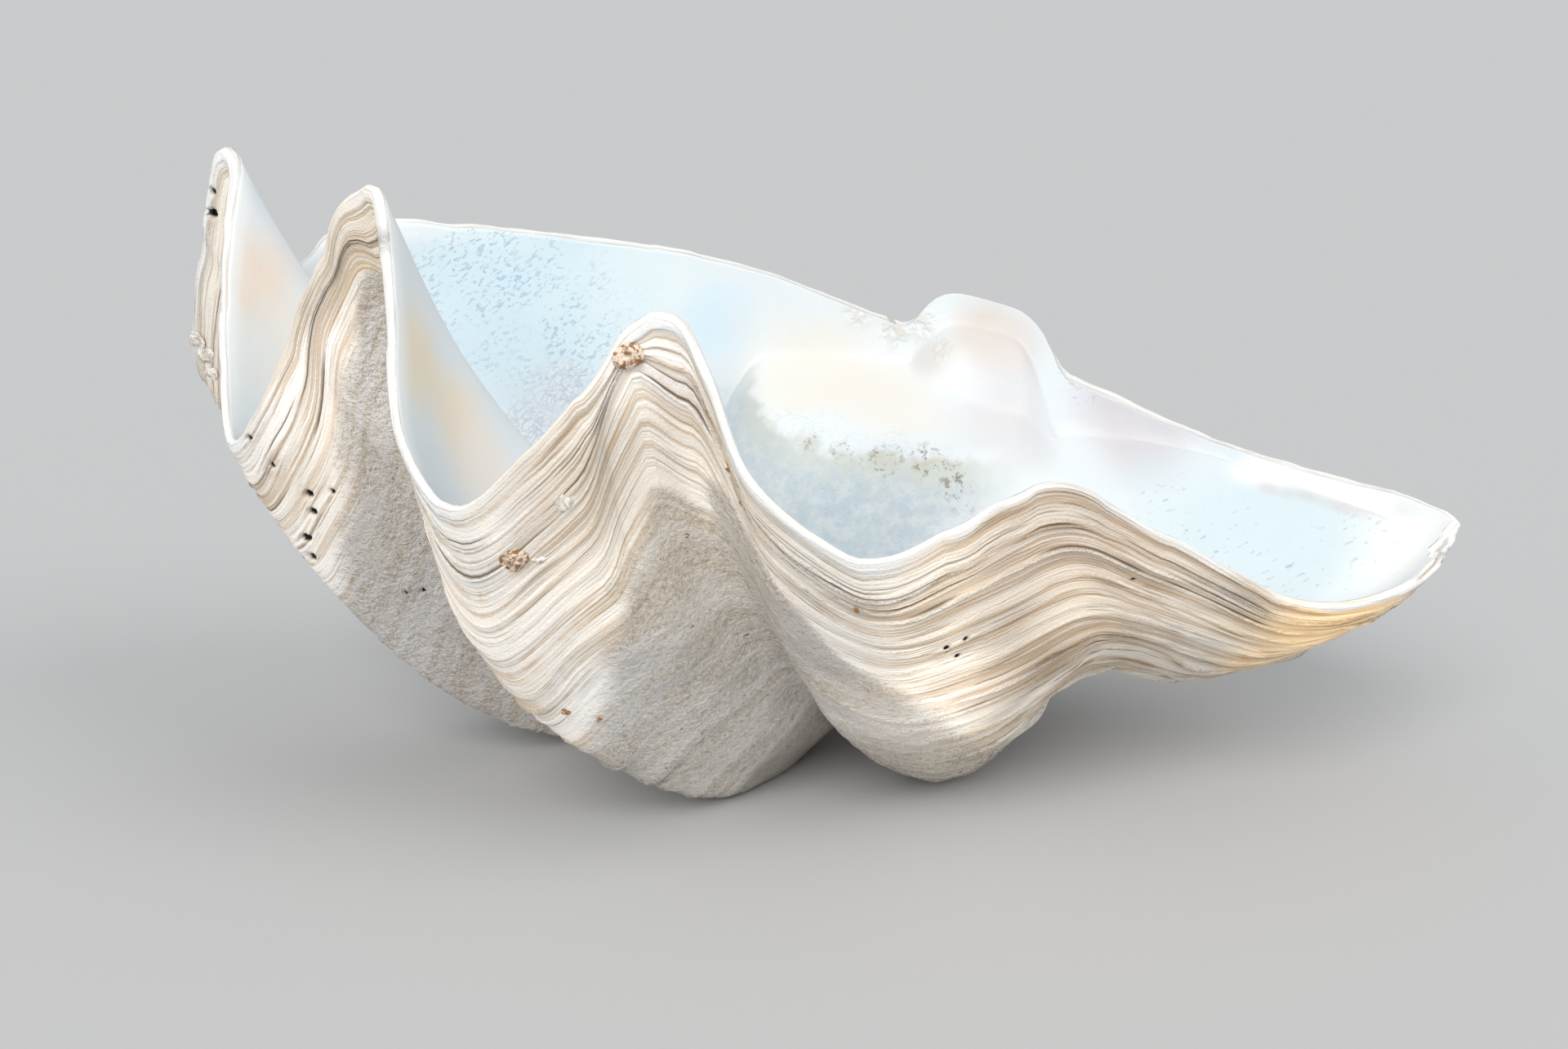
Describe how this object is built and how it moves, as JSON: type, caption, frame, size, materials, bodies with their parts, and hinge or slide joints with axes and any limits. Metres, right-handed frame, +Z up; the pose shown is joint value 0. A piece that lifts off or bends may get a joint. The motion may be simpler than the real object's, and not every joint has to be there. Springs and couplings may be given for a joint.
{
  "type": "giant clam shell",
  "caption": "Loose single valve of a giant clam with deep fan ribs, a wavy margin, a porcelain-like hollow and a hinge tooth; rests on its ribs with the hollow up.",
  "frame": {"origin": "under the middle of the shell's box, at the level it rests on", "axes": "+X along the length, from the high folded end to the flat wing; +Y from the wavy front margin to the hinge; +Z up, out of the hollow"},
  "size_m": [0.7764, 0.4678, 0.3841],
  "materials": {
    "shell": "chalky outside, smooth and slightly glossy inside"
  },
  "bodies": {
    "root": {"shell": "shell"}
  },
  "joints": []
}
